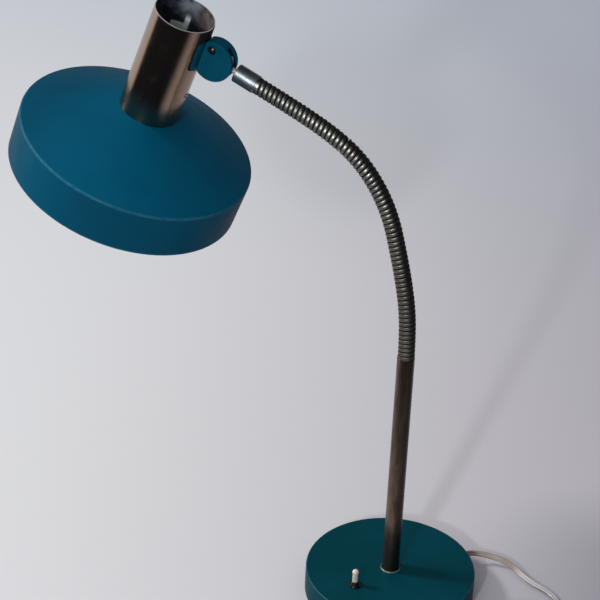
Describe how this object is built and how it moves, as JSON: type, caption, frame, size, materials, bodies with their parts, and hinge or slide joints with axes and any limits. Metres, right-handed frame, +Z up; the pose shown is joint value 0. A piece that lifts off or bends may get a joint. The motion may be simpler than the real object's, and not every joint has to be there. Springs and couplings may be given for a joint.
{
  "type": "desk lamp",
  "caption": "Gooseneck desk lamp with a round weighted base, a plain stem, a pivoting head tube and a wide conical shade with an upright band.",
  "frame": {"origin": "on the table under the stem, at the centre of the base's flat underside", "axes": "+Z up along the stem, the neck bends towards -X, and the head's hinge axis runs along Y"},
  "size_m": [0.6309, 0.2911, 0.5554],
  "materials": {
    "base_paint": "satin petrol green enamel",
    "shade_paint": "satin petrol blue enamel on spun aluminium",
    "cast_weight": "rough cast",
    "plain_steel": "zinc plated",
    "bright_steel": "bright turned",
    "felt": "felt",
    "stem_plating": "aged chrome",
    "tube_plating": "polished chrome",
    "neck_steel": "darkened steel ribs",
    "brass": "plain",
    "dark_plastic": "moulded black",
    "cream_plastic": "moulded cream",
    "clear_plastic": "cloudy amber",
    "cord": "aged clear flex",
    "lead": "pale lead",
    "pin_plating": "nickel plated",
    "knuckle_paint": "satin petrol blue enamel",
    "holder_plastic": "dark moulded",
    "porcelain": "glazed",
    "bulb_metal": "plain",
    "bulb_glass": "frosted"
  },
  "bodies": {
    "base": {"base_cover": "base_paint", "base_weight": "cast_weight", "base_plate": "plain_steel", "plate_screws": "plain_steel", "felt_pad": "felt", "stem": "stem_plating", "foot_collar": "stem_plating", "stem_foot_plug": "brass", "stem_nipple": "brass", "stem_washer": "plain_steel", "stem_nut": "plain_steel", "neck_socket": "brass", "neck_segment_01": "neck_steel", "switch_body": "dark_plastic", "switch_nut": "dark_plastic", "cord_bush": "clear_plastic", "cord_tail": "cord", "cord_clamp": "plain_steel", "terminal_block": "dark_plastic", "terminal_screws": "brass", "inner_leads": "lead", "power_cord": "cord", "cord_coil": "cord", "cord_tie": "clear_plastic", "plug_lead": "cord", "plug_body": "cream_plastic", "plug_pins": "pin_plating"},
    "button": {"switch_button": "cream_plastic"},
    "neck_02": {"neck_segment_02": "neck_steel"},
    "neck_03": {"neck_segment_03": "neck_steel"},
    "neck_04": {"neck_segment_04": "neck_steel"},
    "neck_05": {"neck_segment_05": "neck_steel"},
    "neck_06": {"neck_segment_06": "neck_steel"},
    "neck_07": {"neck_segment_07": "neck_steel"},
    "neck_08": {"neck_segment_08": "neck_steel"},
    "neck_09": {"neck_segment_09": "neck_steel"},
    "neck_10": {"neck_segment_10": "neck_steel", "ferrule": "bright_steel", "tongue": "bright_steel"},
    "head": {"knuckle_housing": "knuckle_paint", "knuckle_cover": "knuckle_paint", "pivot_pin": "plain_steel", "friction_washers": "brass", "clamp_screw": "bright_steel", "knuckle_pad": "dark_plastic", "knuckle_screws": "plain_steel", "head_tube": "tube_plating", "holder_bracket": "plain_steel", "holder_nipple": "brass", "holder_nut": "brass", "holder_cap": "holder_plastic", "holder_core": "porcelain", "holder_skirt": "holder_plastic", "socket_shell": "brass", "socket_contact": "brass", "holder_lead": "lead", "bulb_cap": "bulb_metal", "bulb_glass": "bulb_glass", "shade": "shade_paint", "shade_screws": "bright_steel"}
  },
  "joints": [
    {"name": "neck_curl_1", "type": "hinge", "parent": "base", "child": "neck_02", "pos_m": [-0.00092, 0, 0.29221], "axis": [0, 1, 0], "range_deg": [-6, 6]},
    {"name": "neck_sway_2", "type": "hinge", "parent": "neck_02", "child": "neck_03", "pos_m": [-0.00469, 0, 0.32269], "axis": [0.9828, 0, 0.1848], "range_deg": [-6, 6]},
    {"name": "neck_curl_3", "type": "hinge", "parent": "neck_03", "child": "neck_04", "pos_m": [-0.01127, 0, 0.3527], "axis": [0, 1, 0], "range_deg": [-6, 6]},
    {"name": "neck_sway_4", "type": "hinge", "parent": "neck_04", "child": "neck_05", "pos_m": [-0.01919, 0, 0.38239], "axis": [0.9622, 0, 0.2723], "range_deg": [-6, 6]},
    {"name": "neck_curl_5", "type": "hinge", "parent": "neck_05", "child": "neck_06", "pos_m": [-0.0305, 0, 0.41091], "axis": [0, 1, 0], "range_deg": [-6, 6]},
    {"name": "neck_sway_6", "type": "hinge", "parent": "neck_06", "child": "neck_07", "pos_m": [-0.04765, 0, 0.43633], "axis": [0.76, 0, 0.6499], "range_deg": [-6, 6]},
    {"name": "neck_curl_7", "type": "hinge", "parent": "neck_07", "child": "neck_08", "pos_m": [-0.07074, 0, 0.45643], "axis": [0, 1, 0], "range_deg": [-6, 6]},
    {"name": "neck_sway_8", "type": "hinge", "parent": "neck_08", "child": "neck_09", "pos_m": [-0.09776, 0, 0.47101], "axis": [0.4075, 0, 0.9132], "range_deg": [-6, 6]},
    {"name": "neck_curl_9", "type": "hinge", "parent": "neck_09", "child": "neck_10", "pos_m": [-0.12608, 0, 0.48294], "axis": [0, 1, 0], "range_deg": [-6, 6]},
    {"name": "head_tilt", "type": "hinge", "parent": "neck_10", "child": "head", "pos_m": [-0.19483, 0, 0.50984], "axis": [0, 1, 0], "range_deg": [-36, 48]},
    {"name": "switch_press", "type": "slide", "parent": "base", "child": "button", "axis": [0, 0, -1], "range_m": [0, 0.003], "stiffness_N_per_m": 400, "springref_m": -0.004}
  ],
  "couplings": [
    {"joint": "neck_curl_3", "follows": "neck_curl_1", "ratio": 1},
    {"joint": "neck_sway_4", "follows": "neck_sway_2", "ratio": 1},
    {"joint": "neck_curl_5", "follows": "neck_curl_1", "ratio": 1},
    {"joint": "neck_sway_6", "follows": "neck_sway_2", "ratio": 1},
    {"joint": "neck_curl_7", "follows": "neck_curl_1", "ratio": 1},
    {"joint": "neck_sway_8", "follows": "neck_sway_2", "ratio": 1},
    {"joint": "neck_curl_9", "follows": "neck_curl_1", "ratio": 1}
  ]
}
